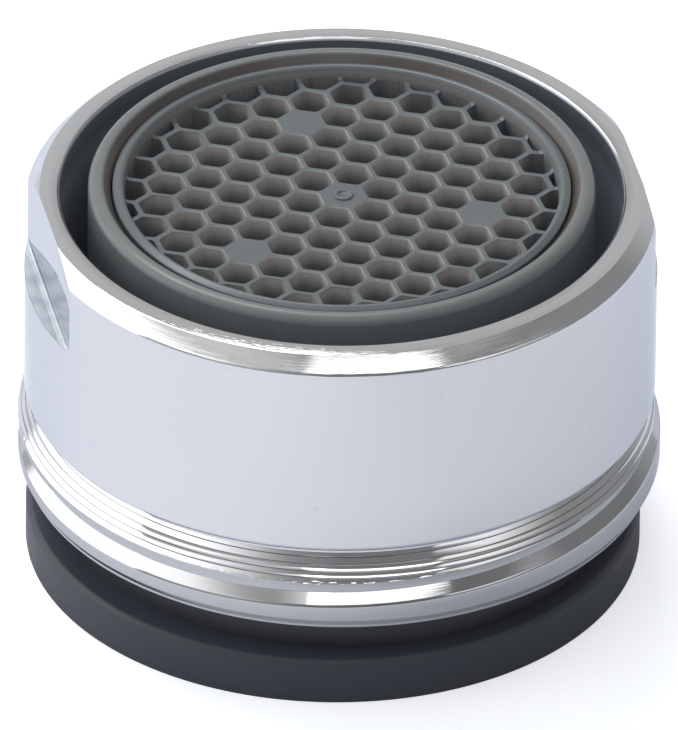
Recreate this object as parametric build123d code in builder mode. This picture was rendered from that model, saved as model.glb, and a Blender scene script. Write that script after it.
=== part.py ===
from build123d import *
import os
from math import cos, hypot, radians, sin, sqrt, tan

# Tap aerator, stood on its sealing washer with the outlet up.
# Millimetres. The origin is the middle of the washer's underside and +Z points to the outlet.
# The two wrench flats face along X.

# Washer and the neck that shows above it
washer_diameter = 22.8
washer_bore = 17.2
washer_height = 1.8
washer_edge_radius = 0.25
washer_drift = (-0.2, 0.04)
neck_height = 1.75

# Housing, outside, from the thread up to the outlet rim
thread_diameter = 23.8
thread_length = 2.0
thread_end_chamfer = 0.18
thread_end_land = 0.11
thread_end_run = 0.29
groove_depth = 0.52
groove_half_angle = 30.0
groove_drop = 0.66
relief_height = 1.23
relief_depth = 0.49
relief_land = 0.28
body_height = 8.32
body_wall = 1.28
body_foot_radius = 0.25
rim_chamfer = 0.55
rim_inner_chamfer = 0.1
flat_cut = 0.68
flat_height = 3.05
flat_corner_radius = 0.2

# Housing, inside: a seat for the insert's flange, a rib that carries it, and the air gap
thread_wall = 1.4
seat_depth = 1.6
rib_height = 1.2
air_gap = 1.05

# Fits between the pieces
seat_clearance = 0.1
rib_clearance = 0.1
plug_clearance = 0.05

# Insert jacket
flange_ledge = 1.05
flange_height = 1.3
jacket_wall = 0.65
jacket_proud = 0.4
jacket_edge_radius = 0.12
collar_height = 1.25
collar_lip = 0.2
collar_bevel = 0.3
window_count = 6
window_width = 5.0
window_height = 2.2
window_offset = 0.2

# Honeycomb outlet, turned in the housing by the angle it was pressed in at
insert_turn = 5.65
outlet_recess = 0.65
honeycomb_depth = 3.0
cell_pitch = 1.5
cell_wall = 0.2
border_reach = 0.4
grid_rim = 0.65
lip_height = 0.5
lip_slope = 0.2
lip_bevel = 0.13
lip_bevel_height = 0.3
gate_diameter = 0.7
gate_height = 0.15
pillar_count = 3
first_pillar_bearing = -30.0
pillar_diameter = 1.4
pillar_step = 0.15

# Mixing grids, stacked on the pillars
mixing_gap = 0.8
mixing_height = 0.8
mixing_rim = 0.7
slot_width = 0.9
slot_pitch = 1.6
boss_wall = 0.4

# Jet splitter
splitter_rim_wall = 1.6
plug_height = 0.9
web_height = 0.7
nozzle_diameter = 0.9
outer_nozzle_count = 20
outer_nozzle_circle = 14.0
inner_nozzle_count = 9
inner_nozzle_circle = 6.4

# Inlet strainer
strainer_rim_wall = 0.65
strainer_rim_height = 1.0
strainer_skin = 0.45
strainer_set_back = 0.5
strainer_slot_length = 1.1
strainer_slot_width = 1.0
strainer_rows = 4
strainer_row_pitch = 1.8
strainer_row_slots = 6

# Heights of the stack
washer_top = washer_height
housing_base = washer_top + neck_height
thread_top = housing_base + thread_length
groove_middle = thread_top - groove_drop
body_base = thread_top + relief_height
housing_top = body_base + body_height
seat_top = housing_base + seat_depth
rib_top = seat_top + rib_height
flange_base = seat_top - flange_height
plate_top = flange_base + plug_height
plate_base = flange_base - web_height
jacket_top = housing_top + jacket_proud
collar_base = jacket_top - collar_height
honeycomb_top = jacket_top - outlet_recess
honeycomb_base = honeycomb_top - honeycomb_depth
lip_top = honeycomb_top + lip_height
outlet_mixing_top = honeycomb_base - mixing_gap
inlet_mixing_top = outlet_mixing_top - mixing_height - mixing_gap
strainer_base = plate_base - strainer_rim_height

# Radii, from the thread inwards and from the air gap back out
thread_radius = thread_diameter / 2
groove_half_width = groove_depth * tan(radians(groove_half_angle))
seat_radius = thread_radius - thread_wall
flange_radius = seat_radius - seat_clearance
jacket_radius = flange_radius - flange_ledge
outlet_bore_radius = jacket_radius + air_gap
body_radius = outlet_bore_radius + body_wall
relief_radius = body_radius - relief_depth
rib_radius = jacket_radius + rib_clearance
jacket_bore_radius = jacket_radius - jacket_wall
collar_radius = jacket_bore_radius - collar_lip
plug_radius = jacket_bore_radius - plug_clearance
grid_collar_radius = collar_radius - plug_clearance
field_radius = plug_radius - grid_rim
splitter_bore_radius = flange_radius - splitter_rim_wall
strainer_radius = splitter_bore_radius - plug_clearance
strainer_dome_radius = strainer_radius - strainer_rim_wall
mixing_radius = plug_radius - plug_clearance
pillar_circle_radius = 2 * sqrt(3) * cell_pitch
pillar_radii = [pillar_diameter / 2 - step * pillar_step for step in range(3)]


def lattice_distance(cell, other):
    return hypot(cell[0] - other[0], cell[1] - other[1])


def pillar_places():
    """Pillars stand behind three cells, two rows out from the middle and a third of a turn apart."""
    bearings = [radians(first_pillar_bearing + 360 * n / pillar_count) for n in range(pillar_count)]
    return [(pillar_circle_radius * cos(b), pillar_circle_radius * sin(b)) for b in bearings]


def open_cells():
    """Centres of the cells in the field and across its border, less the gate cell and those over the pillars."""
    filled = [(0, 0)] + pillar_places()
    reach = int(field_radius / cell_pitch) + 2
    centres = []
    for row in range(-reach, reach + 1):
        for column in range(-2 * reach, 2 * reach + 1):
            cell = (cell_pitch * (column + row / 2), cell_pitch * row * sqrt(3) / 2)
            in_field = hypot(*cell) < field_radius + border_reach
            if in_field and all(lattice_distance(cell, other) > cell_pitch / 2 for other in filled):
                centres.append(cell)
    return centres


# Everything in the insert is turned together
insert_plane = Plane.XY.rotated((0, 0, insert_turn))

# Sealing washer: a flat rubber ring, softened on its upper edge, that lies a little off the middle
with BuildPart() as sealing_washer:
    with BuildSketch():
        with Locations(washer_drift):
            Circle(washer_diameter / 2)
            Circle(washer_bore / 2, mode=Mode.SUBTRACT)
    extrude(amount=washer_height)
    upper_edges = sealing_washer.faces().sort_by(Axis.Z)[-1].edges()
    fillet(upper_edges.sort_by(SortBy.RADIUS)[-1], washer_edge_radius)

# Housing: one turned section with the thread's V groove, then the two wrench flats milled into the outlet end
with BuildPart() as housing:
    with BuildSketch(Plane.XZ) as housing_section:
        with BuildLine():
            Polyline(
                (seat_radius, housing_base),
                (thread_radius - thread_end_chamfer, housing_base),
                (thread_radius - thread_end_chamfer, housing_base + thread_end_land),
                (thread_radius, housing_base + thread_end_land + thread_end_run),
                (thread_radius, groove_middle - groove_half_width),
                (thread_radius - groove_depth, groove_middle),
                (thread_radius, groove_middle + groove_half_width),
                (thread_radius, thread_top),
                (relief_radius, body_base - relief_land),
                (relief_radius, body_base),
                (body_radius, body_base),
                (body_radius, housing_top),
                (outlet_bore_radius, housing_top),
                (outlet_bore_radius, rib_top),
                (rib_radius, rib_top),
                (rib_radius, seat_top),
                (seat_radius, seat_top),
                close=True,
            )
        make_face()
        body_foot = housing_section.vertices().sort_by_distance((body_radius, body_base))[0]
        fillet(body_foot, body_foot_radius)
        rim_outer = housing_section.vertices().sort_by_distance((body_radius, housing_top))[0]
        chamfer(rim_outer, rim_chamfer)
        rim_inner = housing_section.vertices().sort_by_distance((outlet_bore_radius, housing_top))[0]
        chamfer(rim_inner, rim_inner_chamfer)
    revolve(axis=Axis.Z)
    with BuildSketch(Plane.XZ) as flat_cutter:
        with Locations((body_radius - flat_cut, housing_top - flat_height)):
            Rectangle(body_radius, 2 * flat_height, align=(Align.MIN, Align.MIN))
        corner = flat_cutter.vertices().sort_by_distance((0, 0))[0]
        fillet(corner, flat_corner_radius)
        mirror(about=Plane.YZ)
    extrude(amount=body_radius, both=True, mode=Mode.SUBTRACT)

# Insert jacket: flange, sleeve and outlet collar, with air windows round the sleeve
with BuildPart() as insert_jacket:
    with BuildSketch(Plane.XZ) as jacket_section:
        with BuildLine():
            Polyline(
                (jacket_bore_radius, flange_base),
                (flange_radius, flange_base),
                (flange_radius, seat_top),
                (jacket_radius, seat_top),
                (jacket_radius, jacket_top),
                (collar_radius + collar_bevel, jacket_top),
                (collar_radius, jacket_top - collar_bevel),
                (collar_radius, collar_base),
                (jacket_bore_radius, collar_base),
                close=True,
            )
        make_face()
        ring_edge = jacket_section.vertices().sort_by_distance((jacket_radius, jacket_top))[0]
        fillet(ring_edge, jacket_edge_radius)
    revolve(axis=Axis.Z)
    with BuildSketch(insert_plane.offset(rib_top + window_offset)):
        with PolarLocations(jacket_radius, window_count):
            Rectangle(4 * jacket_wall, window_width)
    extrude(amount=window_height, mode=Mode.SUBTRACT)

# Honeycomb outlet: a stepped rim round a field of hexagonal cells, and three stepped pillars behind it
with BuildPart() as honeycomb_outlet:
    with BuildSketch(Plane.XZ):
        with BuildLine():
            Polyline(
                (0, honeycomb_base),
                (plug_radius, honeycomb_base),
                (plug_radius, collar_base),
                (grid_collar_radius, collar_base),
                (grid_collar_radius, lip_top - lip_bevel_height),
                (grid_collar_radius - lip_bevel, lip_top),
                (field_radius + lip_slope, lip_top),
                (field_radius, honeycomb_top),
                (0, honeycomb_top),
                close=True,
            )
        make_face()
    revolve(axis=Axis.Z)
    with BuildSketch(insert_plane.offset(honeycomb_base)):
        with Locations(*open_cells()):
            RegularPolygon((cell_pitch - cell_wall) / 2, 6, major_radius=False, rotation=30)
        Circle(field_radius, mode=Mode.INTERSECT)
    extrude(amount=honeycomb_depth, mode=Mode.SUBTRACT)
    with BuildSketch(Plane.XY.offset(honeycomb_top)):
        Circle(gate_diameter / 2)
    extrude(amount=gate_height)
    for pillar_radius, foot in zip(pillar_radii, (outlet_mixing_top, inlet_mixing_top, plate_top)):
        with BuildSketch(insert_plane.offset(foot)):
            with Locations(*pillar_places()):
                Circle(pillar_radius)
        extrude(amount=honeycomb_base - foot)


def mixing_grid(top, pin_radius, slot_turn):
    """A rimmed disc of parallel slots, with bosses that slide onto the pillars up to their step."""
    with BuildPart() as grid:
        with BuildSketch(insert_plane.offset(top - mixing_height)):
            Circle(mixing_radius)
        extrude(amount=mixing_height)
        with BuildSketch(insert_plane.rotated((0, 0, slot_turn)).offset(top - mixing_height)):
            with GridLocations(slot_pitch, slot_pitch, 1, int(2 * field_radius / slot_pitch)):
                Rectangle(2 * mixing_radius, slot_width)
            Circle(mixing_radius - mixing_rim, mode=Mode.INTERSECT)
        extrude(amount=mixing_height, mode=Mode.SUBTRACT)
        with BuildSketch(insert_plane.offset(top - mixing_height)):
            with Locations(*pillar_places()):
                Circle(pin_radius + boss_wall)
        extrude(amount=mixing_height)
        with BuildSketch(insert_plane.offset(top - mixing_height)):
            with Locations(*pillar_places()):
                Circle(pin_radius + plug_clearance)
        extrude(amount=mixing_height, mode=Mode.SUBTRACT)
    return grid


# Mixing grids: the same disc twice, with the slots crosswise
mixing_grid_outlet_side = mixing_grid(outlet_mixing_top, pillar_radii[1], 0)
mixing_grid_inlet_side = mixing_grid(inlet_mixing_top, pillar_radii[2], 90)

# Jet splitter: the neck ring that carries the washer, and the nozzle plate that plugs the jacket
with BuildPart() as jet_splitter:
    with BuildSketch(Plane.XZ):
        with BuildLine():
            Polyline(
                (splitter_bore_radius, washer_top),
                (flange_radius, washer_top),
                (flange_radius, flange_base),
                (plug_radius, flange_base),
                (plug_radius, plate_top),
                (0, plate_top),
                (0, plate_base),
                (splitter_bore_radius, plate_base),
                close=True,
            )
        make_face()
    revolve(axis=Axis.Z)
    with BuildSketch(insert_plane.offset(plate_base)):
        with PolarLocations(outer_nozzle_circle / 2, outer_nozzle_count):
            Circle(nozzle_diameter / 2)
        with PolarLocations(inner_nozzle_circle / 2, inner_nozzle_count):
            Circle(nozzle_diameter / 2)
    extrude(amount=plate_top - plate_base, mode=Mode.SUBTRACT)

# Inlet strainer: a rim under the nozzle plate and a slotted dome that bulges towards the inlet
with BuildPart() as inlet_strainer:
    with BuildSketch(Plane.XZ):
        with BuildLine():
            outside = TangentArc((0, strainer_set_back), (strainer_dome_radius, strainer_base), tangent=(1, 0))
            rim = Polyline(
                outside @ 1,
                (strainer_radius, strainer_base),
                (strainer_radius, plate_base),
                (strainer_dome_radius, plate_base),
                (strainer_dome_radius, strainer_base + strainer_skin),
            )
            inside = TangentArc((0, strainer_set_back + strainer_skin), rim @ 1, tangent=(1, 0))
            Line(inside @ 0, outside @ 0)
        make_face()
    revolve(axis=Axis.Z)
    with BuildSketch(insert_plane):
        for row in range(1, strainer_rows + 1):
            with PolarLocations(row * strainer_row_pitch, row * strainer_row_slots):
                Rectangle(strainer_slot_length, strainer_slot_width)
    extrude(amount=plate_base, mode=Mode.SUBTRACT)

os.makedirs("parts", exist_ok=True)

sealing_washer.part.label = "sealing_washer"
export_step(sealing_washer.part, "parts/sealing_washer.step")

housing.part.label = "housing"
export_step(housing.part, "parts/housing.step")

insert_jacket.part.label = "insert_jacket"
export_step(insert_jacket.part, "parts/insert_jacket.step")

honeycomb_outlet.part.label = "honeycomb_outlet"
export_step(honeycomb_outlet.part, "parts/honeycomb_outlet.step")

mixing_grid_outlet_side.part.label = "mixing_grid_outlet_side"
export_step(mixing_grid_outlet_side.part, "parts/mixing_grid_outlet_side.step")

mixing_grid_inlet_side.part.label = "mixing_grid_inlet_side"
export_step(mixing_grid_inlet_side.part, "parts/mixing_grid_inlet_side.step")

jet_splitter.part.label = "jet_splitter"
export_step(jet_splitter.part, "parts/jet_splitter.step")

inlet_strainer.part.label = "inlet_strainer"
export_step(inlet_strainer.part, "parts/inlet_strainer.step")
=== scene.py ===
import math

import bpy
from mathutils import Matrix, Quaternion, Vector


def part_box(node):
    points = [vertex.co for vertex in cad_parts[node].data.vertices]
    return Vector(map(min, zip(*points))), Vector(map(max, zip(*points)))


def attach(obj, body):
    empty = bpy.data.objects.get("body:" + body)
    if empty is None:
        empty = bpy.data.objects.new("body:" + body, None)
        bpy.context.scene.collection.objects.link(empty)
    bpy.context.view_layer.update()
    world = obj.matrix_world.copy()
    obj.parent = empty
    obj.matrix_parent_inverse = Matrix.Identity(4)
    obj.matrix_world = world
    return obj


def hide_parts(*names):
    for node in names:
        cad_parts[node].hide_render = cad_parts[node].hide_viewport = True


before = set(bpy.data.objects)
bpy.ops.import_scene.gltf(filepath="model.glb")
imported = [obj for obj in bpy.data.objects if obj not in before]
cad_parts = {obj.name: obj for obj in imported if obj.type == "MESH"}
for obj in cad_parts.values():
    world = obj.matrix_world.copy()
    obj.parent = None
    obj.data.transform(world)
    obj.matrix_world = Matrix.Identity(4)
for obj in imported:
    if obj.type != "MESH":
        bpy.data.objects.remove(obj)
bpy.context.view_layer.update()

bl_info = {
    "name": "Tap aerator",
    "version": (1, 0, 0),
    "blender": (4, 5, 0),
    "location": "3D View > Sidebar > Aerator",
    "description": "Dresses a tap aerator: turned chrome housing, moulded insert and rubber washer",
    "category": "Object",
}

MM = 0.001
FULL_TURN = 2 * math.pi
MERGE_DISTANCE = 1e-7
SHARP_ANGLE = math.radians(28)
# The side of the part that the camera sees, in degrees before the stage is turned
FRONT_BEARING = 270

# Small forms of the insert: the rounding of the cells' upper edges, the bevel in their corners, the width of
# the band of sharp-edged cells, the two shoulders of a pillar, and how deep the cutter for an air window is
CELL_MOUTH = 0.055 * MM
CELL_CORNER = 0.09 * MM
BORDER_BAND = 1.2 * MM
PILLAR_STEP = 0.15 * MM
UPPER_SHOULDER = 11.05 * MM
LOWER_SHOULDER = 9.45 * MM
WINDOW_DEPTH = 2.6 * MM

# Steps round a full turn
HOUSING_STEPS = 720
RING_STEPS = 256
GATE_STEPS = 48
PILLAR_STEPS = 32

# The boxes of the CAD nodes give each new piece its reach from the axis and its heights
housing_low, housing_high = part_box("housing")
jacket_low, jacket_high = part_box("insert_jacket")
outlet_low, outlet_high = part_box("honeycomb_outlet")
washer_low, washer_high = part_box("sealing_washer")


def half_width(low, high):
    return (high.x - low.x) / 2


def length_property(name, description, default):
    return bpy.props.FloatProperty(
        name=name, description=description, default=default, precision=5, unit="LENGTH"
    )


def colour_property(name, description, default):
    return bpy.props.FloatVectorProperty(
        name=name, description=description, default=default, size=3, min=0, max=1, subtype="COLOR"
    )


def angle_property(name, description, degrees):
    return bpy.props.FloatProperty(
        name=name, description=description, default=math.radians(degrees), subtype="ANGLE", unit="ROTATION"
    )


class HousingSizes(bpy.types.PropertyGroup):
    """Sizes of the turned chrome housing"""

    thread_radius: length_property(
        "Thread radius", "Outside of the thread", half_width(housing_low, housing_high)
    )
    body_radius: length_property("Body radius", "Outside of the plain body", 11.68 * MM)
    relief_radius: length_property("Relief radius", "Bottom of the relief above the thread", 11.19 * MM)
    bore_radius: length_property("Bore radius", "Inside of the outlet end", 10.4 * MM)
    rib_radius: length_property("Rib radius", "Inside of the rib that carries the insert", 9.45 * MM)
    seat_radius: length_property("Seat radius", "Inside of the threaded end", 10.5 * MM)
    rim_chamfer: length_property("Rim chamfer", "Bevel round the outlet rim", 0.55 * MM)
    rim_fall: length_property("Rim fall", "Drop of the rim's face towards its outer edge", 0.03 * MM)
    foot_radius: length_property("Foot rounding", "Rounding under the plain body", 0.25 * MM)
    foot_height: length_property("Foot height", "Underside of the plain body", 6.78 * MM)
    relief_height: length_property("Relief height", "Lower edge of the relief", 6.5 * MM)
    crest_top: length_property("Crest top", "Upper edge of the thread", 5.55 * MM)
    seat_top: length_property("Seat top", "Upper end of the insert's seat", 5.15 * MM)
    rib_top: length_property("Rib top", "Upper face of the rib", 6.35 * MM)
    pitch: length_property("Pitch", "Rise of the thread in one turn", 1.35 * MM)
    groove_depth: length_property("Groove depth", "Depth of the thread groove", 0.4 * MM)
    groove_width: length_property("Groove width", "Width of the thread groove at its mouth", 1.0 * MM)
    groove_front: length_property("Groove at front", "Lower edge of the groove at the front", 4.567 * MM)
    flat_distance: length_property("Flat distance", "Wrench flat to the axis", 11.0 * MM)
    flat_ledge: length_property("Flat ledge", "Height of the ledge under a wrench flat", 11.75 * MM)
    flat_corner: length_property("Flat corner", "Rounding between flat and ledge", 0.2 * MM)


class InsertSizes(bpy.types.PropertyGroup):
    """Sizes of the moulded insert"""

    flange_radius: length_property(
        "Flange radius", "Outside of the flange", half_width(jacket_low, jacket_high)
    )
    flange_top: length_property("Flange top", "Upper face of the flange", 5.15 * MM)
    sleeve_radius: length_property("Sleeve radius", "Outside of the sleeve", 9.35 * MM)
    sleeve_bore: length_property("Sleeve bore", "Inside of the sleeve", 8.7 * MM)
    collar_radius: length_property("Collar radius", "Inside of the collar", 8.5 * MM)
    collar_base: length_property("Collar base", "Underside of the collar", 14.25 * MM)
    groove_radius: length_property("Groove radius", "Outer edge of the groove inside the ring", 8.82 * MM)
    seam_height: length_property("Seam height", "Height at which jacket and honeycomb meet", 15.12 * MM)
    ring_rounding: length_property("Ring rounding", "Rounding on the ring's outer edge", 0.34 * MM)
    ring_fall: length_property("Ring fall", "Drop of the ring's top towards its outer edge", 0.01 * MM)
    window_width: length_property("Window width", "Width of an air window", 5.0 * MM)
    window_base: length_property("Window base", "Lower edge of an air window", 6.55 * MM)
    window_height: length_property("Window height", "Height of an air window", 2.2 * MM)
    plug_radius: length_property(
        "Plug radius", "Outside of the honeycomb's plug", half_width(outlet_low, outlet_high)
    )
    field_radius: length_property("Field radius", "Radius of the field of cells", 8.0 * MM)
    border_reach: length_property("Border reach", "Reach of the cut cells past the field's edge", 0.4 * MM)
    field_top: length_property("Field top", "Height of the cell walls", 14.85 * MM)
    field_base: length_property("Field base", "Underside of the cells", 11.85 * MM)
    cell_pitch: length_property("Cell pitch", "Distance between cells", 1.5 * MM)
    cell_wall: length_property("Cell wall", "Wall between cells at its middle", 0.2 * MM)
    cell_draft: length_property("Cell draft", "Growth of a wall from its top to its base", 0.07 * MM)
    fairing: length_property("Fairing", "Rounding where the walls run up into the lip", 0.14 * MM)
    grid_offset: length_property("Grid offset", "Sideways offset of the cells in their rim", 0.07 * MM)
    gate_radius: length_property("Gate radius", "Radius of the nub in the middle", 0.37 * MM)
    pillar_radius: length_property("Pillar radius", "Radius of a pillar at the honeycomb", 0.7 * MM)
    turn: angle_property("Turn", "Angle the insert was pressed in at", 5.65)


class WasherSizes(bpy.types.PropertyGroup):
    """Sizes of the sealing washer"""

    radius: length_property("Radius", "Outside of the washer", half_width(washer_low, washer_high))
    bore_radius: length_property("Bore radius", "Hole of the washer", 8.6 * MM)
    edge_rounding: length_property("Edge rounding", "Rounding on the upper edge", 0.25 * MM)


class AeratorColours(bpy.types.PropertyGroup):
    """Colours of the finishes, as linear light"""

    chrome: colour_property("Chrome", "Polished chrome plate", (0.655, 0.664, 0.68))
    speck: colour_property("Speck", "Dull specks in the plate", (0.3, 0.31, 0.34))
    worn_chrome: colour_property("Worn chrome", "Thin plate at the rim's inner edge", (0.45, 0.425, 0.4))
    ledge_dark: colour_property("Ledge, dark", "Cloudy plate on the milled ledge", (0.47, 0.53, 0.59))
    ledge_pale: colour_property("Ledge, pale", "Paler clouds on the milled ledge", (0.63, 0.67, 0.71))
    bore: colour_property("Bore", "Thin dull plate inside the bore", (0.36, 0.385, 0.44))
    # Painted light: a paler, bluer tone painted further down the bore, where the narrow gap beside the insert
    # is in shade
    bore_painted_light: colour_property("Deep bore", "Brighter plate further down the bore", (0.66, 0.7, 0.79))
    ring_plastic: colour_property("Ring plastic", "Grey plastic of the insert's sleeve", (0.15, 0.163, 0.166))
    outlet_plastic: colour_property("Outlet plastic", "Grey plastic of the honeycomb", (0.114, 0.131, 0.14))
    # Painted light: the tone painted on the cell walls under their tops, standing in for light that comes
    # through the thin walls
    cell_painted_light: colour_property("Cell plastic", "Tone of the thin walls, lit through", (0.42, 0.408, 0.392))
    # Painted shade: the dark tone painted down in the ring's groove
    groove_painted_shade: colour_property("Groove plastic", "Tone down in the ring's groove", (0.07, 0.062, 0.057))
    # Painted light: the tone painted deeper in the cells and low on the lip's inner wall, paler than the
    # plastic itself
    deep_painted_light: colour_property("Deep plastic", "Tone deep inside the cells", (0.155, 0.159, 0.168))
    grid_plastic: colour_property("Grid plastic", "Pale plastic of the mixing grids", (0.3, 0.31, 0.31))
    dark_plastic: colour_property("Dark plastic", "Black plastic of the jet splitter", (0.034, 0.037, 0.045))
    strainer_plastic: colour_property("Strainer plastic", "Plastic of the strainer", (0.3, 0.31, 0.315))
    rubber: colour_property("Rubber", "Rubber of the washer", (0.0265, 0.0305, 0.0405))
    dust: colour_property("Dust", "Pale dust on the rubber", (0.1, 0.1, 0.11))
    floor: colour_property("Floor", "Pale floor", (0.8, 0.83, 0.915))


class StageSizes(bpy.types.PropertyGroup):
    """Camera and light round the part"""

    front_angle: angle_property("Front", "Bearing of the camera about the part", FRONT_BEARING - 12.1)
    elevation: angle_property("Elevation", "Height of the camera above the horizon", 32.81)
    roll: angle_property("Roll", "Lean of the camera", 0.617)
    distance: length_property("Distance", "Camera to the middle of the outlet", 0.9416)
    focus_height: length_property("Focus height", "Height the distance is taken from", 14.85 * MM)
    aim_height: length_property("Aim height", "Height on the axis that the camera looks at", 7.39 * MM)
    aim_side: length_property("Aim side", "Sideways offset of the camera's aim", -0.032 * MM)
    lens: bpy.props.FloatProperty(name="Lens", description="Focal length in millimetres", default=1261.2)


def deselect():
    if bpy.context.mode != "OBJECT":
        bpy.ops.object.mode_set(mode="OBJECT")
    bpy.ops.object.select_all(action="DESELECT")


def activate(piece):
    deselect()
    piece.select_set(True)
    bpy.context.view_layer.objects.active = piece


def edit(piece):
    activate(piece)
    bpy.ops.object.mode_set(mode="EDIT")
    bpy.ops.mesh.select_mode(type="VERT")
    bpy.ops.mesh.select_all(action="DESELECT")


def select_points(piece, wanted):
    """Selects, in edit mode, the vertices for which wanted(position) is true."""
    bpy.ops.mesh.select_all(action="DESELECT")
    bpy.ops.object.mode_set(mode="OBJECT")
    for vertex in piece.data.vertices:
        vertex.select = wanted(vertex.co)
    bpy.ops.object.mode_set(mode="EDIT")


def close_up(piece):
    """Merges doubled vertices and turns every face outwards."""
    edit(piece)
    bpy.ops.mesh.select_all(action="SELECT")
    bpy.ops.mesh.remove_doubles(threshold=MERGE_DISTANCE)
    bpy.ops.mesh.delete_loose()
    bpy.ops.mesh.normals_make_consistent(inside=False)
    bpy.ops.object.mode_set(mode="OBJECT")


def smooth(piece):
    """Shades smooth between sharp edges, with the large faces kept flat."""
    activate(piece)
    bpy.ops.object.shade_smooth_by_angle(angle=SHARP_ANGLE)
    modifier = piece.modifiers.new("weights", "WEIGHTED_NORMAL")
    modifier.mode = "FACE_AREA"
    modifier.keep_sharp = True
    bpy.ops.object.modifier_apply(modifier=modifier.name)


def rounded(corners, arc_steps=5):
    """Points of a closed section. A corner is (radius, height), with a third number where it is rounded."""
    points = []
    for index, corner in enumerate(corners):
        here = Vector(corner[:2])
        if len(corner) == 2:
            points.append(here)
            continue
        before = (Vector(corners[index - 1][:2]) - here).normalized()
        after = (Vector(corners[(index + 1) % len(corners)][:2]) - here).normalized()
        half = before.angle(after) / 2
        centre = here + (before + after).normalized() * (corner[2] / math.sin(half))
        first_arm = here + before * (corner[2] / math.tan(half)) - centre
        last_arm = here + after * (corner[2] / math.tan(half)) - centre
        for step in range(arc_steps + 1):
            arm = first_arm.lerp(last_arm, step / arc_steps).normalized()
            points.append(centre + arm * corner[2])
    return points


def draw_section(name, section):
    """Draws a closed section of (radius, height) points in the XZ plane, vertex by vertex."""
    deselect()
    first = section[0]
    bpy.ops.mesh.primitive_plane_add(size=MM, location=(first[0], 0, first[1]))
    piece = bpy.context.object
    piece.name = name
    piece.data.name = name
    bpy.ops.object.transform_apply(location=True, rotation=False, scale=False)
    bpy.ops.object.mode_set(mode="EDIT")
    bpy.ops.mesh.select_mode(type="VERT")
    bpy.ops.mesh.select_all(action="SELECT")
    bpy.ops.mesh.merge(type="CENTER")
    for here, there in zip(section, section[1:] + section[:1]):
        step = (there[0] - here[0], 0, there[1] - here[1])
        bpy.ops.mesh.extrude_vertices_move(TRANSFORM_OT_translate={"value": step})
    bpy.ops.mesh.select_all(action="SELECT")
    bpy.ops.mesh.remove_doubles(threshold=MERGE_DISTANCE)
    return piece


def turned(name, section, steps):
    """Spins a closed section round the Z axis, as a lathe would cut it."""
    piece = draw_section(name, section)
    bpy.ops.mesh.select_all(action="SELECT")
    bpy.ops.mesh.spin(steps=steps, angle=FULL_TURN, center=(0, 0, 0), axis=(0, 0, 1))
    close_up(piece)
    return piece


def cut(piece, cutter, operation="DIFFERENCE"):
    """Applies a boolean to the piece and removes the cutter."""
    activate(piece)
    modifier = piece.modifiers.new("cut", "BOOLEAN")
    modifier.operation = operation
    modifier.solver = "EXACT"
    modifier.object = cutter
    bpy.ops.object.modifier_apply(modifier=modifier.name)
    bpy.data.objects.remove(cutter)


def copies(master, places):
    """Copies the master to each place, turned by each place's angle about Z, and joins the copies."""
    made = []
    for x, y, z, angle in places:
        activate(master)
        bpy.ops.object.duplicate(linked=False)
        copy = bpy.context.object
        copy.location = (x, y, z)
        copy.rotation_euler = (0, 0, angle)
        made.append(copy)
    bpy.data.objects.remove(master)
    deselect()
    for copy in made:
        copy.select_set(True)
    bpy.context.view_layer.objects.active = made[0]
    bpy.ops.object.join()
    joined = bpy.context.object
    bpy.ops.object.transform_apply(location=True, rotation=True, scale=True)
    return joined


def place_round(radius, count, first_angle, z=0):
    """Places on a circle, each turned to face outwards."""
    angles = [first_angle + FULL_TURN * n / count for n in range(count)]
    return [(radius * math.cos(a), radius * math.sin(a), z, a) for a in angles]


def dress(piece, node, material):
    """Gives a finished piece its material, and lets it stand for its CAD node."""
    piece.data.materials.clear()
    piece.data.materials.append(material)
    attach(piece, "root")
    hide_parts(node)


class Nodes:
    """Adds nodes to a tree. A value that feeds a node is a number, a colour or another node's output."""

    def __init__(self, tree):
        self.tree = tree

    def add(self, kind, **settings):
        node = self.tree.nodes.new(kind)
        for name, value in settings.items():
            setattr(node, name, value)
        return node

    def link(self, source, target):
        self.tree.links.new(source, target)

    def feed(self, socket, value):
        """Links an output to the socket, or sets a constant on it."""
        if isinstance(value, bpy.types.NodeSocket):
            self.link(value, socket)
        else:
            socket.default_value = value

    def math(self, operation, *values):
        node = self.add("ShaderNodeMath", operation=operation)
        for socket, value in zip(node.inputs, values):
            self.feed(socket, value)
        return node.outputs[0]

    def product(self, first, *others):
        for other in others:
            first = self.math("MULTIPLY", first, other)
        return first

    def ramp(self, value, low, high, to_low=0.0, to_high=1.0, shape="SMOOTHSTEP"):
        """Maps low..high to to_low..to_high."""
        node = self.add("ShaderNodeMapRange", interpolation_type=shape)
        self.feed(node.inputs["Value"], value)
        for name, number in zip(("From Min", "From Max", "To Min", "To Max"), (low, high, to_low, to_high)):
            node.inputs[name].default_value = number
        return node.outputs["Result"]


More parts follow.
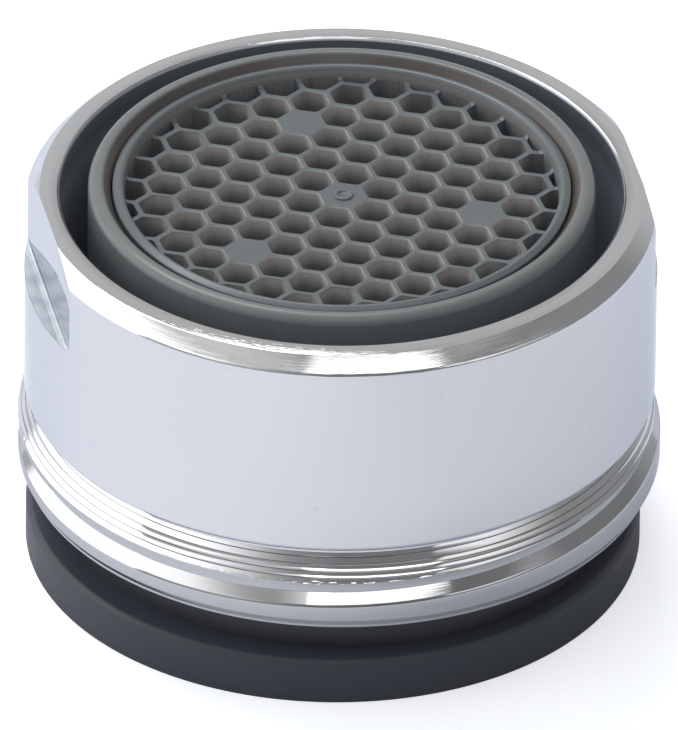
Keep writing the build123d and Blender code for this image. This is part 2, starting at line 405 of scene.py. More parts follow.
class Finish(Nodes):
    """A procedural material under construction: a Principled shader and the nodes that feed it."""

    def __init__(self, name):
        self.material = bpy.data.materials.new(name)
        self.material.use_nodes = True
        super().__init__(self.material.node_tree)
        self.shader = self.tree.nodes["Principled BSDF"]
        self.place = self.add("ShaderNodeTexCoord").outputs["Object"]

    def set(self, **constants):
        for name, value in constants.items():
            self.shader.inputs[name.replace("_", " ")].default_value = value

    def noise(self, scale, detail=2.0, roughness=0.5, place=None):
        node = self.add("ShaderNodeTexNoise")
        self.link(place or self.place, node.inputs["Vector"])
        node.inputs["Scale"].default_value = scale
        node.inputs["Detail"].default_value = detail
        node.inputs["Roughness"].default_value = roughness
        return node.outputs["Fac"]

    def mix(self, factor, first, second):
        node = self.add("ShaderNodeMix", data_type="RGBA")
        self.feed(node.inputs["Factor"], factor)
        self.feed(node.inputs["A"], (*first, 1) if isinstance(first, tuple) else first)
        self.feed(node.inputs["B"], (*second, 1) if isinstance(second, tuple) else second)
        return node.outputs["Result"]

    def polar(self):
        """Radius, height and angle of a point about the piece's axis."""
        parts = self.add("ShaderNodeSeparateXYZ")
        self.link(self.place, parts.inputs[0])
        x, y, z = parts.outputs
        square = self.math("ADD", self.product(x, x), self.product(y, y))
        return self.math("SQRT", square), z, self.math("ARCTAN2", y, x)

    def combine(self, x, y, z):
        node = self.add("ShaderNodeCombineXYZ")
        for socket, value in zip(node.inputs, (x, y, z)):
            self.feed(socket, value)
        return node.outputs[0]

    def bump(self, height, distance, strength=1.0, below=None):
        node = self.add("ShaderNodeBump")
        node.inputs["Strength"].default_value = strength
        node.inputs["Distance"].default_value = distance
        self.feed(node.inputs["Height"], height)
        if below:
            self.link(below, node.inputs["Normal"])
        return node.outputs[0]

    def to_shader(self, name, value):
        self.link(value, self.shader.inputs[name])


def shade(colour, factor=1.0):
    """A colour setting as plain numbers, made darker or paler."""
    return tuple(channel * factor for channel in colour)


def chrome_finish(colours, sizes):
    """Polished chrome plate: fine turned lines at the rim and the rings, faint specks, and a dull bore, with
    painted shade on the thread and painted light down the bore.
    """
    finish = Finish("chrome")
    radius, height, angle = finish.polar()
    bore, foot, crest = sizes.bore_radius, sizes.foot_height, sizes.crest_top
    bevel_foot = housing_high.z - sizes.rim_fall - sizes.rim_chamfer
    in_bore = finish.ramp(radius, bore + 0.07 * MM, bore + 0.03 * MM)
    worked = finish.math(
        "MAXIMUM",
        finish.ramp(height, bevel_foot - 0.07 * MM, bevel_foot),
        finish.ramp(height, foot + 0.12 * MM, foot - 0.08 * MM, 0.0, 0.15),
    )
    line_density = 14000.0
    lines = finish.noise(1.0, 3.0, 0.6, finish.combine(
        finish.product(angle, 5.0),
        finish.product(radius, line_density),
        finish.product(height, line_density),
    ))
    peel = finish.noise(700.0, 2.0)
    turned_lines = finish.bump(finish.product(lines, worked), 0.006 * MM, 1.0)
    finish.to_shader("Normal", finish.bump(peel, 0.004 * MM, 0.4, turned_lines))
    specks = finish.ramp(finish.noise(2600.0, 1.0), 0.72, 0.8)
    plate = finish.mix(finish.product(specks, 0.12), shade(colours.chrome), shade(colours.speck))
    # Painted shade: the chrome below the thread's crest top is darkened by about a quarter, standing in for
    # the shadowed floor it mirrors
    thin = finish.product(finish.ramp(height, crest + 0.05 * MM, crest - 0.05 * MM), 0.28)
    plate = finish.mix(thin, plate, (0, 0, 0))
    worn = finish.product(
        finish.ramp(radius, bore + 0.45 * MM, bore + 0.1 * MM),
        finish.ramp(finish.noise(160.0, 3.0), 0.35, 0.65, 0.1, 0.6),
    )
    plate = finish.mix(worn, plate, shade(colours.worn_chrome))
    across = finish.math("ABSOLUTE", finish.product(radius, finish.math("COSINE", angle)))
    above_thread = finish.ramp(height, foot + 1.22 * MM, foot + 1.42 * MM)
    ledge = finish.product(
        finish.ramp(across, sizes.flat_distance + 0.01 * MM, sizes.flat_distance + 0.04 * MM),
        finish.ramp(radius, sizes.body_radius - 0.015 * MM, sizes.body_radius - 0.025 * MM),
        above_thread,
    )
    clouds = finish.ramp(finish.noise(1100.0, 4.0), 0.35, 0.65)
    cloudy = finish.mix(clouds, shade(colours.ledge_dark), shade(colours.ledge_pale))
    plate = finish.mix(ledge, plate, cloudy)
    # Painted light: the bore's plate is painted paler and bluer further down, into the shaded gap beside the
    # insert
    down_bore = finish.ramp(height, housing_high.z - 0.6 * MM, housing_high.z - 1.6 * MM)
    bore_plate_and_painted_light = finish.mix(down_bore, shade(colours.bore), shade(colours.bore_painted_light))
    finish.to_shader("Base Color", finish.mix(in_bore, plate, bore_plate_and_painted_light))
    smudge = finish.ramp(finish.noise(230.0, 3.0), 0.4, 0.75, 0.03, 0.075)
    dull = finish.math("MAXIMUM", finish.product(in_bore, 0.62), finish.product(ledge, 0.3))
    finish.to_shader("Roughness", finish.math("MAXIMUM", smudge, dull))
    finish.set(Metallic=1.0, Specular_Tint=(0.8, 0.815, 0.845, 1))
    return finish.material


def plastic_finish(name, colour, roughness):
    """Moulded plastic: a fine spark-eroded grain and a faint flow mottle."""
    finish = Finish(name)
    flow = finish.noise(350.0, 3.0)
    finish.to_shader("Base Color", finish.mix(flow, shade(colour, 0.94), shade(colour, 1.06)))
    finish.to_shader("Roughness", finish.ramp(flow, 0.3, 0.7, roughness - 0.05, roughness + 0.05))
    finish.to_shader("Normal", finish.bump(finish.noise(9000.0, 2.0), 0.006 * MM, 0.5))
    return finish.material


def honeycomb_finish(colours, sizes):
    """The same plastic, with painted light: paler and warmer under the wall tops, where light comes through
    the thin walls, darker further down the cells, and paler up the lip's inner wall.
    """
    finish = Finish("outlet_plastic")
    radius, height = finish.polar()[:2]
    top, edge = sizes.field_top, sizes.field_radius
    deep, lit = shade(colours.deep_painted_light), shade(colours.cell_painted_light)
    flow = finish.noise(420.0, 3.0)
    tops = finish.mix(flow, shade(colours.outlet_plastic, 0.95), shade(colours.outlet_plastic))
    # Painted light and shade on the cell walls: palest under the tops of the inner cells, darker further down
    # and near the lip
    thin = finish.ramp(radius, edge - 0.25 * MM, edge - 1.3 * MM)
    down_cell = finish.ramp(height, top - 0.08 * MM, top - 0.95 * MM)
    walls = finish.mix(down_cell, finish.mix(thin, deep, lit), deep)
    below_top = finish.ramp(height, top - 0.002 * MM, top - 0.035 * MM)
    skin = finish.mix(below_top, tops, walls)
    # Painted light on the lip's inner wall, paler towards its top
    lip_wall_painted_light = finish.product(
        finish.ramp(radius, edge + 0.12 * MM, edge + 0.06 * MM),
        finish.ramp(radius, edge - 0.12 * MM, edge - 0.06 * MM),
        finish.ramp(height, top + 0.45 * MM, top + 0.3 * MM),
    )
    lit_lip = finish.mix(finish.ramp(height, top + 0.02 * MM, top + 0.3 * MM, 0.0, 0.32), deep, lit)
    finish.to_shader("Base Color", finish.mix(lip_wall_painted_light, skin, lit_lip))
    finish.to_shader("Roughness", finish.ramp(flow, 0.3, 0.7, 0.26, 0.32))
    finish.to_shader("Normal", finish.bump(finish.noise(9000.0, 2.0), 0.003 * MM, 0.5))
    finish.set(Specular_IOR_Level=0.4)
    return finish.material


def jacket_finish(colours, sizes):
    """Moulded plastic with painted shade in the groove inside the ring."""
    finish = Finish("grey_plastic")
    radius, height = finish.polar()[:2]
    flow = finish.noise(350.0, 3.0)
    skin = finish.mix(flow, shade(colours.ring_plastic, 0.94), shade(colours.ring_plastic, 1.06))
    # Painted shade in the groove inside the ring
    groove = finish.product(
        finish.ramp(radius, sizes.groove_radius, sizes.groove_radius - 0.04 * MM),
        finish.ramp(height, sizes.seam_height + 0.4 * MM, sizes.seam_height + 0.26 * MM),
    )
    finish.to_shader("Base Color", finish.mix(groove, skin, shade(colours.groove_painted_shade)))
    finish.to_shader("Roughness", finish.ramp(flow, 0.3, 0.7, 0.26, 0.34))
    finish.to_shader("Normal", finish.bump(finish.noise(9000.0, 2.0), 0.005 * MM, 0.5))
    finish.set(Specular_IOR_Level=0.4)
    return finish.material


def rubber_finish(colours):
    """Moulded rubber with a faint bloom, a little dust, and painted light that makes the upper face paler."""
    finish = Finish("rubber")
    height = finish.polar()[1]
    bloom = finish.noise(300.0, 4.0, 0.6)
    dust = finish.ramp(finish.noise(2100.0, 1.0), 0.74, 0.82)
    # Painted light: the washer's upper face, shaded under the housing, is painted paler
    upper_face_painted_light = finish.ramp(height, washer_high.z - 0.1 * MM, washer_high.z - 0.01 * MM)
    skin = finish.mix(bloom, shade(colours.rubber, 0.85), shade(colours.rubber, 1.25))
    skin = finish.mix(upper_face_painted_light, skin, shade(colours.rubber, 1.9))
    finish.to_shader("Base Color", finish.mix(finish.product(dust, 0.5), skin, shade(colours.dust)))
    finish.to_shader("Roughness", finish.ramp(bloom, 0.3, 0.7, 0.42, 0.55))
    finish.to_shader("Normal", finish.bump(finish.noise(5200.0, 3.0), 0.006 * MM, 0.6))
    return finish.material


def turned_rings(start, end, shares, groove, dishes):
    """Points down a turned cone: dished lands with a fine V groove between them.

    shares are the grooves' places along the cone, groove is their width and depth, dishes are the hollows
    of the lands."""
    along = (end - start).normalized()
    inwards = Vector((along.y, -along.x))
    if inwards.x > 0:
        inwards = -inwards
    length = (end - start).length
    stops = [0.0] + [share * length for share in shares] + [length]
    points = []
    land_steps = 6
    for land_start, land_end, dish in zip(stops, stops[1:], dishes):
        for step in range(land_steps + 1):
            t = step / land_steps
            first = land_start + (groove / 2 if land_start > 0 else 0)
            last = land_end - (groove / 2 if land_end < length else 0)
            hollow = dish * 4 * t * (1 - t)
            points.append(start + along * (first + (last - first) * t) + inwards * hollow)
        if land_end < length:
            points.append(start + along * land_end + inwards * groove)
    return points


def housing_section(sizes):
    """The housing's section, from the end of the thread up the outside, over the rim and down the bore."""
    base, top = housing_low.z, housing_high.z
    end_land = sizes.thread_radius - 0.18 * MM
    rim_edge = sizes.body_radius - sizes.rim_chamfer
    cone_top = Vector((sizes.relief_radius + 0.02 * MM, sizes.relief_height - 0.03 * MM))
    cone_foot = Vector((sizes.thread_radius, sizes.crest_top))
    lower = rounded([
        (sizes.seat_radius, base),
        (end_land, base, 0.03 * MM),
        (end_land, base + 0.11 * MM, 0.03 * MM),
        (sizes.thread_radius, base + 0.4 * MM, 0.05 * MM),
        (cone_foot.x, cone_foot.y),
    ], 3)[:-1]
    dishes = [hollow * MM for hollow in (0.001, 0.0012, 0.011, 0.006, 0.0012)]
    rings = turned_rings(cone_top, cone_foot, (0.13, 0.365, 0.595, 0.8), 0.042 * MM, dishes)[::-1]
    upper = rounded([
        (cone_top.x, cone_top.y),
        (sizes.relief_radius, sizes.relief_height, 0.03 * MM),
        (sizes.relief_radius, sizes.foot_height, 0.05 * MM),
        (sizes.body_radius, sizes.foot_height, sizes.foot_radius),
        (sizes.body_radius, top - sizes.rim_fall - sizes.rim_chamfer, 0.3 * MM),
        (rim_edge, top - sizes.rim_fall, 0.04 * MM),
        (sizes.bore_radius + 0.1 * MM, top, 0.02 * MM),
        (sizes.bore_radius, top - 0.1 * MM, 0.02 * MM),
        (sizes.bore_radius, sizes.rib_top, 0.1 * MM),
        (sizes.rib_radius, sizes.rib_top),
        (sizes.rib_radius, sizes.seat_top),
        (sizes.seat_radius, sizes.seat_top),
        (sizes.seat_radius, base),
    ], 4)[1:-1]
    return lower + rings + upper


def thread_groove(sizes, front_angle):
    """A flat tool swept up a helix: it runs in at the back and draws out again at the back."""
    reach = 0.25 * MM
    crest, depth, width = sizes.thread_radius, sizes.groove_depth, sizes.groove_width
    root = crest - depth
    section = rounded([
        (root, depth, 0.04 * MM),
        (root, width - 0.1 * MM, 0.04 * MM),
        (crest + reach, width + 0.06 * MM),
        (crest + reach, -0.12 * MM),
        (crest + 0.005 * MM, -0.12 * MM),
        (crest - 0.002 * MM, -0.06 * MM),
        (crest - 0.02 * MM, 0.0),
        (crest - 0.06 * MM, 0.055 * MM),
    ], 3)
    steps_per_turn = 360
    before_front, after_front = math.radians(200), math.radians(180)
    run_in, run_out = math.radians(40), math.radians(45)
    sweep = before_front + after_front
    steps = round(steps_per_turn * sweep / FULL_TURN)
    tool = draw_section("thread_groove", section)
    bpy.ops.object.mode_set(mode="OBJECT")
    modifier = tool.modifiers.new("helix", "SCREW")
    modifier.axis = "Z"
    modifier.angle = sweep
    modifier.screw_offset = sizes.pitch * sweep / FULL_TURN
    modifier.steps = steps
    modifier.render_steps = steps
    modifier.use_merge_vertices = False
    bpy.ops.object.modifier_apply(modifier=modifier.name)
    count = len(section)
    rows = len(tool.data.vertices) // count
    draw_in = round(rows * run_in / sweep)
    draw_out = round(rows * run_out / sweep)
    lift = (sizes.groove_depth + 0.1 * MM) / root
    for row in range(rows):
        share = max(1 - row / draw_in, 1 - (rows - 1 - row) / draw_out, 0)
        if share == 0:
            continue
        growth = 1 + lift * share
        for vertex in tool.data.vertices[row * count:(row + 1) * count]:
            vertex.co.x *= growth
            vertex.co.y *= growth
    edit(tool)
    bpy.ops.mesh.select_non_manifold()
    bpy.ops.mesh.edge_face_add()
    bpy.ops.mesh.select_all(action="SELECT")
    bpy.ops.mesh.normals_make_consistent(inside=False)
    bpy.ops.object.mode_set(mode="OBJECT")
    tool.rotation_euler = (0, 0, front_angle - before_front)
    tool.location = (0, 0, sizes.groove_front - sizes.pitch * before_front / FULL_TURN)
    activate(tool)
    bpy.ops.object.transform_apply(location=True, rotation=True, scale=True)
    return tool


def flat_mill(sizes):
    """Two square cutters with a rounded lower inner edge, one for each wrench flat."""
    depth = 2 * MM
    height = 2 * (housing_high.z - sizes.flat_ledge)
    deselect()
    bpy.ops.mesh.primitive_cube_add(size=1, location=(
        sizes.flat_distance + depth / 2, 0, sizes.flat_ledge + height / 2
    ), scale=(depth, 2 * sizes.body_radius, height))
    mill = bpy.context.object
    bpy.ops.object.transform_apply(location=True, rotation=True, scale=True)
    edit(mill)
    select_points(mill, lambda p: p.x < sizes.flat_distance + MM / 2 and p.z < sizes.flat_ledge + MM / 2)
    bpy.ops.mesh.bevel(offset=sizes.flat_corner, segments=6, affect="EDGES")
    bpy.ops.object.mode_set(mode="OBJECT")
    return copies(mill, [(0, 0, 0, 0), (0, 0, 0, math.pi)])


class OBJECT_OT_aerator_housing(bpy.types.Operator):
    """Turn the chrome housing, cut its thread and mill its wrench flats"""

    bl_idname = "object.aerator_housing"
    bl_label = "Housing"

    def execute(self, context):
        sizes = context.scene.aerator_housing
        housing = turned("chrome_housing", housing_section(sizes), HOUSING_STEPS)
        edit(housing)
        crest_low, crest_high = sizes.crest_top + 0.005 * MM, sizes.crest_top + 0.07 * MM
        edge_roughness = 0.014 * MM
        select_points(housing, lambda p: crest_low < p.z < crest_high and p.xy.length > sizes.body_radius)
        bpy.ops.transform.vertex_random(offset=edge_roughness, seed=4)
        bpy.ops.object.mode_set(mode="OBJECT")
        cut(housing, thread_groove(sizes, context.scene.aerator_stage.front_angle))
        cut(housing, flat_mill(sizes))
        smooth(housing)
        dress(housing, "housing", chrome_finish(context.scene.aerator_colours, sizes))
        return {"FINISHED"}


class OBJECT_OT_aerator_jacket(bpy.types.Operator):
    """Turn the insert's jacket and cut its air windows"""

    bl_idname = "object.aerator_jacket"
    bl_label = "Insert jacket"

    def execute(self, context):
        sizes = context.scene.aerator_insert
        top = jacket_high.z
        section = rounded([
            (sizes.sleeve_bore, jacket_low.z),
            (sizes.flange_radius, jacket_low.z),
            (sizes.flange_radius, sizes.flange_top),
            (sizes.sleeve_radius, sizes.flange_top),
            (sizes.sleeve_radius, top - sizes.ring_fall, sizes.ring_rounding),
            (sizes.groove_radius, top, 0.16 * MM),
            (sizes.collar_radius, sizes.seam_height),
            (sizes.collar_radius, sizes.collar_base),
            (sizes.sleeve_bore, sizes.collar_base),
        ])
        jacket = turned("insert_sleeve", section, RING_STEPS)
        deselect()
        window_size = (WINDOW_DEPTH, sizes.window_width, sizes.window_height)
        bpy.ops.mesh.primitive_cube_add(size=1, scale=window_size)
        window = bpy.context.object
        bpy.ops.object.transform_apply(location=True, rotation=True, scale=True)
        middle = sizes.window_base + sizes.window_height / 2
        window_count = 6
        cut(jacket, copies(window, place_round(sizes.sleeve_radius, window_count, sizes.turn, middle)))
        smooth(jacket)
        dress(jacket, "insert_jacket", jacket_finish(context.scene.aerator_colours, sizes))
        return {"FINISHED"}


def pillar_places(sizes):
    """The three pillars stand behind cells two rows out from the middle."""
    return place_round(2 * math.sqrt(3) * sizes.cell_pitch, 3, sizes.turn - math.radians(30))


def cell_places(sizes, nearest, furthest):
    """Centres of the open cells in a band of the field: not the middle one or the three over the pillars."""
    filled = [Vector((0, 0))] + [Vector(place[:2]) for place in pillar_places(sizes)]
    reach = int(sizes.field_radius / sizes.cell_pitch) + 2
    places = []
    for row in range(-reach, reach + 1):
        for column in range(-2 * reach, 2 * reach + 1):
            across = sizes.cell_pitch * (column + row / 2)
            away = sizes.cell_pitch * row * math.sqrt(3) / 2
            bearing = math.atan2(away, across) + sizes.turn
            distance = math.hypot(across, away)
            centre = Vector((math.cos(bearing), math.sin(bearing))) * distance
            clear = all((centre - other).length > sizes.cell_pitch / 2 for other in filled)
            if nearest <= distance < furthest and clear:
                places.append((centre.x + sizes.grid_offset, centre.y, 0, sizes.turn))
    return places


def cell_core(sizes, mouth):
    """The core pin that moulds one cell: a hexagon with soft corners, a little draft and a flared mouth.

    Over the mouth it goes on widening, so that the walls thin out where they run up into the lip."""
    apothem = (sizes.cell_pitch - sizes.cell_wall) / 2
    straight_top = sizes.field_top - mouth
    foot = sizes.field_base - 0.1 * MM
    deselect()
    bpy.ops.mesh.primitive_cylinder_add(
        vertices=6,
        radius=(apothem - sizes.cell_draft / 2) / math.cos(math.pi / 6),
        depth=straight_top - foot,
        location=(0, 0, (straight_top + foot) / 2),
        end_fill_type="NGON",
    )
    core = bpy.context.object
    bpy.ops.object.transform_apply(location=True, rotation=True, scale=True)
    edit(core)
    bpy.ops.mesh.select_mode(type="EDGE")
    bpy.ops.object.mode_set(mode="OBJECT")
    for edge in core.data.edges:
        ends = [core.data.vertices[n].co.z for n in edge.vertices]
        edge.select = abs(ends[0] - ends[1]) > MM
    bpy.ops.object.mode_set(mode="EDIT")
    bpy.ops.mesh.bevel(offset=CELL_CORNER, segments=2, affect="EDGES")
    bpy.ops.mesh.select_mode(type="VERT")
    select_points(core, lambda p: p.z > straight_top - 0.01 * MM)
    bpy.ops.transform.resize(value=(apothem / (apothem - sizes.cell_draft / 2),) * 2 + (1,))
    reached = apothem
    mouth_steps = 4 if mouth > 0 else 0
    for step in range(1, mouth_steps + 1):
        slope = math.radians(90 * step / mouth_steps)
        rise = mouth * (math.sin(slope) - math.sin(slope - math.radians(90 / mouth_steps)))
        wider = apothem + mouth * (1 - math.cos(slope))
        bpy.ops.mesh.extrude_region_move(TRANSFORM_OT_translate={"value": (0, 0, rise)})
        bpy.ops.transform.resize(value=(wider / reached, wider / reached, 1))
        reached = wider
    above = reached + 0.05 * MM
    bpy.ops.mesh.extrude_region_move(TRANSFORM_OT_translate={"value": (0, 0, 0.3 * MM)})
    bpy.ops.transform.resize(value=(above / reached, above / reached, 1))
    bpy.ops.mesh.extrude_region_move(TRANSFORM_OT_translate={"value": (0, 0, MM)})
    close_up(core)
    return core


def honeycomb_blank(sizes):
    """The outlet's rim and field before its cells are cut."""
    lip_top = outlet_high.z
    collar = sizes.collar_radius - 0.05 * MM
    top = sizes.field_top
    section = rounded([
        (0, sizes.field_base),
        (sizes.plug_radius, sizes.field_base),
        (sizes.plug_radius, sizes.collar_base),
        (collar, sizes.collar_base),
        (collar, lip_top - 0.1 * MM, 0.07 * MM),
        (collar - 0.23 * MM, lip_top, 0.13 * MM),
        (sizes.field_radius + 0.03 * MM, lip_top - 0.02 * MM, 0.16 * MM),
        (sizes.field_radius, top, sizes.fairing),
        (0, top),
    ])
    return turned("honeycomb", section, RING_STEPS)


def gate_nub(sizes):
    """The ring-shaped nub that the moulding gate left in the middle of the field."""
    top, gate = sizes.field_top, sizes.gate_radius
    return turned("gate", rounded([
        (0, top - 0.3 * MM),
        (gate, top - 0.3 * MM),
        (gate, top + 0.07 * MM, 0.05 * MM),
        (gate * 0.66, top + 0.07 * MM, 0.04 * MM),
        (gate * 0.5, top + 0.01 * MM, 0.03 * MM),
        (0, top - 0.01 * MM),
    ]), GATE_STEPS)


def field_space(sizes):
    """The space over the field, just clear of its lip, that the border cells are cut back to."""
    edge = sizes.field_radius - 0.012 * MM
    base, above = sizes.field_base - 0.2 * MM, outlet_high.z + 0.05 * MM
    return turned("field", rounded([(0, base), (edge, base), (edge, above), (0, above)]), RING_STEPS)


def pillar(sizes):
    """A pillar under a filled cell, with a shoulder for each mixing grid."""
    thick = sizes.pillar_radius
    middle, thin = thick - PILLAR_STEP, thick - 2 * PILLAR_STEP
    return turned("pillar", rounded([
        (0, outlet_low.z),
        (thin, outlet_low.z, 0.05 * MM),
        (thin, LOWER_SHOULDER),
        (middle, LOWER_SHOULDER),
        (middle, UPPER_SHOULDER),
        (thick, UPPER_SHOULDER),
        (thick, sizes.field_base + MM),
        (0, sizes.field_base + MM),
    ]), PILLAR_STEPS)


class OBJECT_OT_aerator_honeycomb(bpy.types.Operator):
    """Mould the honeycomb outlet: rim, hexagonal cells, filled cells, gate nub and pillars"""

    bl_idname = "object.aerator_honeycomb"
    bl_label = "Honeycomb outlet"

    def execute(self, context):
        sizes = context.scene.aerator_insert
        outlet = honeycomb_blank(sizes)
        inner = sizes.field_radius - BORDER_BAND
        furthest = sizes.field_radius + sizes.border_reach
        cores = copies(cell_core(sizes, CELL_MOUTH), cell_places(sizes, 0, inner))
        border_cores = copies(cell_core(sizes, 0), cell_places(sizes, inner, furthest))
        cut(border_cores, field_space(sizes), "INTERSECT")
        cut(outlet, cores)
        cut(outlet, border_cores)
        cut(outlet, copies(pillar(sizes), pillar_places(sizes)), "UNION")
        cut(outlet, copies(gate_nub(sizes), [(sizes.grid_offset, 0, 0, 0)]), "UNION")
        edit(outlet)
        bpy.ops.mesh.select_all(action="SELECT")
        bpy.ops.mesh.dissolve_limited(angle_limit=math.radians(0.2))
        bpy.ops.object.mode_set(mode="OBJECT")
        smooth(outlet)
        finish = honeycomb_finish(context.scene.aerator_colours, sizes)
        dress(outlet, "honeycomb_outlet", finish)
        return {"FINISHED"}


class OBJECT_OT_aerator_washer(bpy.types.Operator):
    """Mould the rubber sealing washer"""

    bl_idname = "object.aerator_washer"
    bl_label = "Sealing washer"

    def execute(self, context):
        sizes = context.scene.aerator_washer
        low, high = washer_low.z, washer_high.z
        washer = turned("rubber_washer", rounded([
            (sizes.bore_radius, low, 0.05 * MM),
            (sizes.radius, low, 0.05 * MM),
            (sizes.radius, high, sizes.edge_rounding),
            (sizes.bore_radius, high, 0.05 * MM),
        ]), RING_STEPS)
        middle = (washer_low + washer_high) / 2
        edit(washer)
        bpy.ops.mesh.select_all(action="SELECT")
        bpy.ops.transform.translate(value=(middle.x, middle.y, 0))
        bpy.ops.object.mode_set(mode="OBJECT")
        smooth(washer)
        dress(washer, "sealing_washer", rubber_finish(context.scene.aerator_colours))
        return {"FINISHED"}


class OBJECT_OT_aerator_inner_pieces(bpy.types.Operator):
    """Give the splitter, strainer and mixing grids their plastics"""

    bl_idname = "object.aerator_inner_pieces"
    bl_label = "Splitter, strainer and grids"

    def execute(self, context):
        colours = context.scene.aerator_colours
        grid = plastic_finish("grid_plastic", colours.grid_plastic, 0.45)
        finishes = {
            "jet_splitter": plastic_finish("dark_plastic", colours.dark_plastic, 0.4),
            "inlet_strainer": plastic_finish("strainer_plastic", colours.strainer_plastic, 0.42),
            "mixing_grid_outlet_side": grid,
            "mixing_grid_inlet_side": grid,
        }
        for node, material in finishes.items():
            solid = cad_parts[node]
            solid.data.materials.clear()
            solid.data.materials.append(material)
        return {"FINISHED"}


def stage_direction(stage, bearing, elevation):
    """Unit vector for a bearing and an elevation in degrees. Bearing 0 is the camera's right, 90 is away."""
    turn = stage.front_angle - math.radians(FRONT_BEARING)
    a, e = math.radians(bearing) + turn, math.radians(elevation)
    return Vector((math.cos(a) * math.cos(e), math.sin(a) * math.cos(e), math.sin(e)))


def add_camera(stage):
    away = stage_direction(stage, FRONT_BEARING, math.degrees(stage.elevation))
    data = bpy.data.cameras.new("camera")
    data.lens = stage.lens
    data.sensor_width = 36
    data.clip_start, data.clip_end = 0.05, 20
    camera = bpy.data.objects.new("camera", data)
    bpy.context.scene.collection.objects.link(camera)
    camera.location = Vector((0, 0, stage.focus_height)) + away * stage.distance
    right = stage_direction(stage, 0, 0)
    aim = Vector((0, 0, stage.aim_height)) + right * stage.aim_side
    look = (aim - camera.location).to_track_quat("-Z", "Y")
    camera.rotation_mode = "QUATERNION"
    camera.rotation_quaternion = look @ Quaternion((0, 0, 1), stage.roll)
    bpy.context.scene.camera = camera


def add_panel_light(stage, name, bearing, elevation, distance, width, height, radiance):
    """A soft rectangular panel that faces the part. Its power follows from its area and radiance."""
    data = bpy.data.lights.new(name, "AREA")
    data.shape = "RECTANGLE"
    data.size, data.size_y = width, height
    data.energy = radiance * math.pi * width * height
    lamp = bpy.data.objects.new(name, data)
    bpy.context.scene.collection.objects.link(lamp)
    lamp.location = stage_direction(stage, bearing, elevation) * distance
    lamp.rotation_mode = "QUATERNION"
    lamp.rotation_quaternion = (-lamp.location).to_track_quat("-Z", "Y")
    lamp.visible_camera = False


def floor_finish(colours):
    """A pale floor. The camera sees it near white, with the part's soft shadow left on it. In reflections it
    glows a little, fading out towards +X: painted light.
    """
    material = bpy.data.materials.new("pale_floor")
    material.use_nodes = True
    nodes = Nodes(material.node_tree)
    nodes.tree.nodes.clear()
    paper = nodes.add("ShaderNodeBsdfDiffuse")
    nodes.feed(paper.inputs["Color"], (*colours.floor, 1))
    path = nodes.add("ShaderNodeLightPath")
    ground = nodes.add("ShaderNodeNewGeometry")
    place = nodes.add("ShaderNodeSeparateXYZ")
    nodes.link(ground.outputs["Position"], place.inputs[0])
    mirrored = nodes.math("MAXIMUM", path.outputs["Is Glossy Ray"], path.outputs["Is Transmission Ray"])
    # Painted light: in reflections the floor glows a little, fading out towards +X
    mirrored_painted_glow = nodes.ramp(place.outputs["X"], -18 * MM, 8 * MM, 0.15, 0.0, "LINEAR")
    camera_tone = nodes.product(path.outputs["Is Camera Ray"], 0.5)
    glow = nodes.add("ShaderNodeEmission")
    nodes.feed(glow.inputs["Color"], (1, 1, 1, 1))
    nodes.feed(glow.inputs["Strength"], nodes.math("MULTIPLY_ADD", mirrored, mirrored_painted_glow, camera_tone))
    upper_side = nodes.add("ShaderNodeAddShader")
    nodes.link(paper.outputs[0], upper_side.inputs[0])
    nodes.link(glow.outputs[0], upper_side.inputs[1])
    see_through = nodes.add("ShaderNodeBsdfTransparent")
    sided = nodes.add("ShaderNodeMixShader")
    nodes.link(ground.outputs["Backfacing"], sided.inputs[0])
    nodes.link(upper_side.outputs[0], sided.inputs[1])
    nodes.link(see_through.outputs[0], sided.inputs[2])
    output = nodes.add("ShaderNodeOutputMaterial")
    nodes.link(sided.outputs[0], output.inputs["Surface"])
    return material


# Left and right edge of each soft box as bearings from the front, then its lower and upper edge as heights.
# All are in degrees, right positive, each with half the width of its soft border. The radiance is last.
SOFT_BOXES = {
    "left": (-132, 3, -72, 1, -2, 1, 43, 4, 1.6),
    "left of the front": (-72, 1, -44, 29, 26, 4, 43, 4, 1.6),
    "high left": (-90, 8, -18, 6, 46, 5, 62, 6, 0.35),
    "front, lower half": (-14, 14, 43.5, 1, 44, 1, 51, 1, 2.0),
    "front, upper half": (-14, 4, 43.5, 1, 51, 1, 66, 3, 1.3),
    "high right": (43.5, 1, 80, 15, 46, 4, 62, 4, 0.2),
    "front, left end": (-14, 1, -5, 1, 43, 1, 50, 1, 1.6),
    "right": (37, 2, 70, 20, 18, 4, 35.5, 3, 0.98),
}


def soft_band(nodes, value, low, low_soft, high, high_soft):
    """1 where the value lies between two angles in degrees, falling to 0 over their soft borders."""
    low, low_soft, high, high_soft = (math.radians(n) for n in (low, low_soft, high, high_soft))
    rise = nodes.ramp(value, low - low_soft, low + low_soft)
    return nodes.product(rise, nodes.ramp(value, high - high_soft, high + high_soft, 1.0, 0.0))


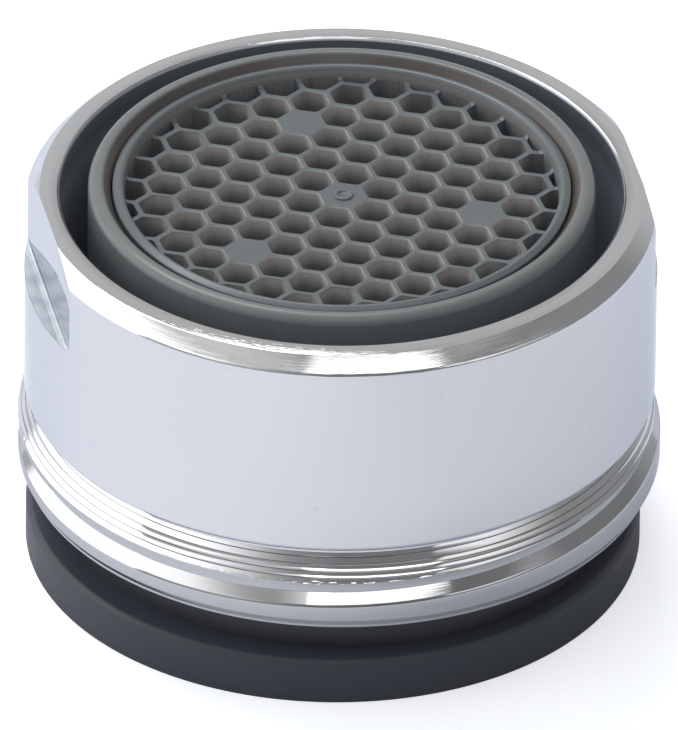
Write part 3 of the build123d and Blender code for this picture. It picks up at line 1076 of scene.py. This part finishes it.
def build_world(stage):
    """A grey studio with soft boxes to the left, in front and to the right."""
    world = bpy.data.worlds.new("studio")
    bpy.context.scene.world = world
    world.use_nodes = True
    nodes = Nodes(world.node_tree)
    nodes.tree.nodes.clear()
    turn = nodes.add("ShaderNodeVectorRotate", rotation_type="Z_AXIS")
    nodes.feed(turn.inputs["Angle"], math.radians(FRONT_BEARING) - stage.front_angle)
    nodes.link(nodes.add("ShaderNodeTexCoord").outputs["Generated"], turn.inputs["Vector"])
    parts = nodes.add("ShaderNodeSeparateXYZ")
    nodes.link(turn.outputs[0], parts.inputs[0])
    side, away, up = parts.outputs
    bearing = nodes.math("ARCTAN2", side, nodes.product(away, -1))
    height = nodes.math("ARCSINE", up)
    backdrop = nodes.ramp(away, 0.42, 0.92, 0.24, 0.66)
    level = nodes.math("ADD", backdrop, nodes.ramp(side, 0.1, -0.6, 0.0, 0.25))
    level = nodes.math("ADD", level, nodes.ramp(side, 0.3, 0.9, 0.0, 0.08))
    for *edges, radiance in SOFT_BOXES.values():
        across = soft_band(nodes, bearing, *edges[:4])
        box = nodes.product(across, soft_band(nodes, height, *edges[4:]))
        level = nodes.math("MULTIPLY_ADD", box, radiance, level)
    path = nodes.add("ShaderNodeLightPath")
    seen = nodes.add("ShaderNodeMix", data_type="FLOAT")
    nodes.feed(seen.inputs["Factor"], path.outputs["Is Camera Ray"])
    nodes.feed(seen.inputs["A"], level)
    nodes.feed(seen.inputs["B"], 1.0)
    background = nodes.add("ShaderNodeBackground")
    nodes.feed(background.inputs["Color"], (1, 1, 1, 1))
    nodes.link(seen.outputs["Result"], background.inputs["Strength"])
    output = nodes.add("ShaderNodeOutputWorld")
    nodes.link(background.outputs[0], output.inputs["Surface"])


class SCENE_OT_aerator_stage(bpy.types.Operator):
    """Lay the floor, hang the lights and set the camera"""

    bl_idname = "scene.aerator_stage"
    bl_label = "Stage"

    def execute(self, context):
        stage = context.scene.aerator_stage
        deselect()
        bpy.ops.mesh.primitive_circle_add(vertices=96, radius=5, fill_type="NGON")
        floor = bpy.context.object
        floor.name = "floor"
        floor.data.materials.append(floor_finish(context.scene.aerator_colours))
        add_panel_light(
            stage, "overhead", bearing=90, elevation=82, distance=0.6, width=0.5, height=0.4, radiance=0.7
        )
        add_panel_light(
            stage, "back_key", bearing=118, elevation=57, distance=0.7, width=0.46, height=0.2, radiance=7.2
        )
        build_world(stage)
        add_camera(stage)
        context.scene.view_settings.view_transform = "Standard"
        return {"FINISHED"}


class VIEW3D_PT_aerator(bpy.types.Panel):
    """Lists the aerator's pieces in the order they are made"""

    bl_label = "Tap aerator"
    bl_space_type = "VIEW_3D"
    bl_region_type = "UI"
    bl_category = "Aerator"

    def draw(self, context):
        column = self.layout.column()
        for operator in OPERATORS:
            column.operator(operator.bl_idname)
        for group in PROPERTY_GROUPS:
            settings = getattr(context.scene, group)
            for name in settings.__annotations__:
                column.prop(settings, name)


PROPERTY_GROUPS = {
    "aerator_housing": HousingSizes,
    "aerator_insert": InsertSizes,
    "aerator_washer": WasherSizes,
    "aerator_colours": AeratorColours,
    "aerator_stage": StageSizes,
}

OPERATORS = (
    OBJECT_OT_aerator_housing,
    OBJECT_OT_aerator_jacket,
    OBJECT_OT_aerator_honeycomb,
    OBJECT_OT_aerator_washer,
    OBJECT_OT_aerator_inner_pieces,
    SCENE_OT_aerator_stage,
)


def register():
    for name, group in PROPERTY_GROUPS.items():
        bpy.utils.register_class(group)
        setattr(bpy.types.Scene, name, bpy.props.PointerProperty(type=group))
    for operator in OPERATORS:
        bpy.utils.register_class(operator)
    bpy.utils.register_class(VIEW3D_PT_aerator)


def unregister():
    bpy.utils.unregister_class(VIEW3D_PT_aerator)
    for operator in reversed(OPERATORS):
        bpy.utils.unregister_class(operator)
    for name, group in PROPERTY_GROUPS.items():
        delattr(bpy.types.Scene, name)
        bpy.utils.unregister_class(group)


def main():
    register()
    bpy.ops.object.aerator_housing()
    bpy.ops.object.aerator_jacket()
    bpy.ops.object.aerator_honeycomb()
    bpy.ops.object.aerator_washer()
    bpy.ops.object.aerator_inner_pieces()
    bpy.ops.scene.aerator_stage()


if __name__ == "__main__":
    main()
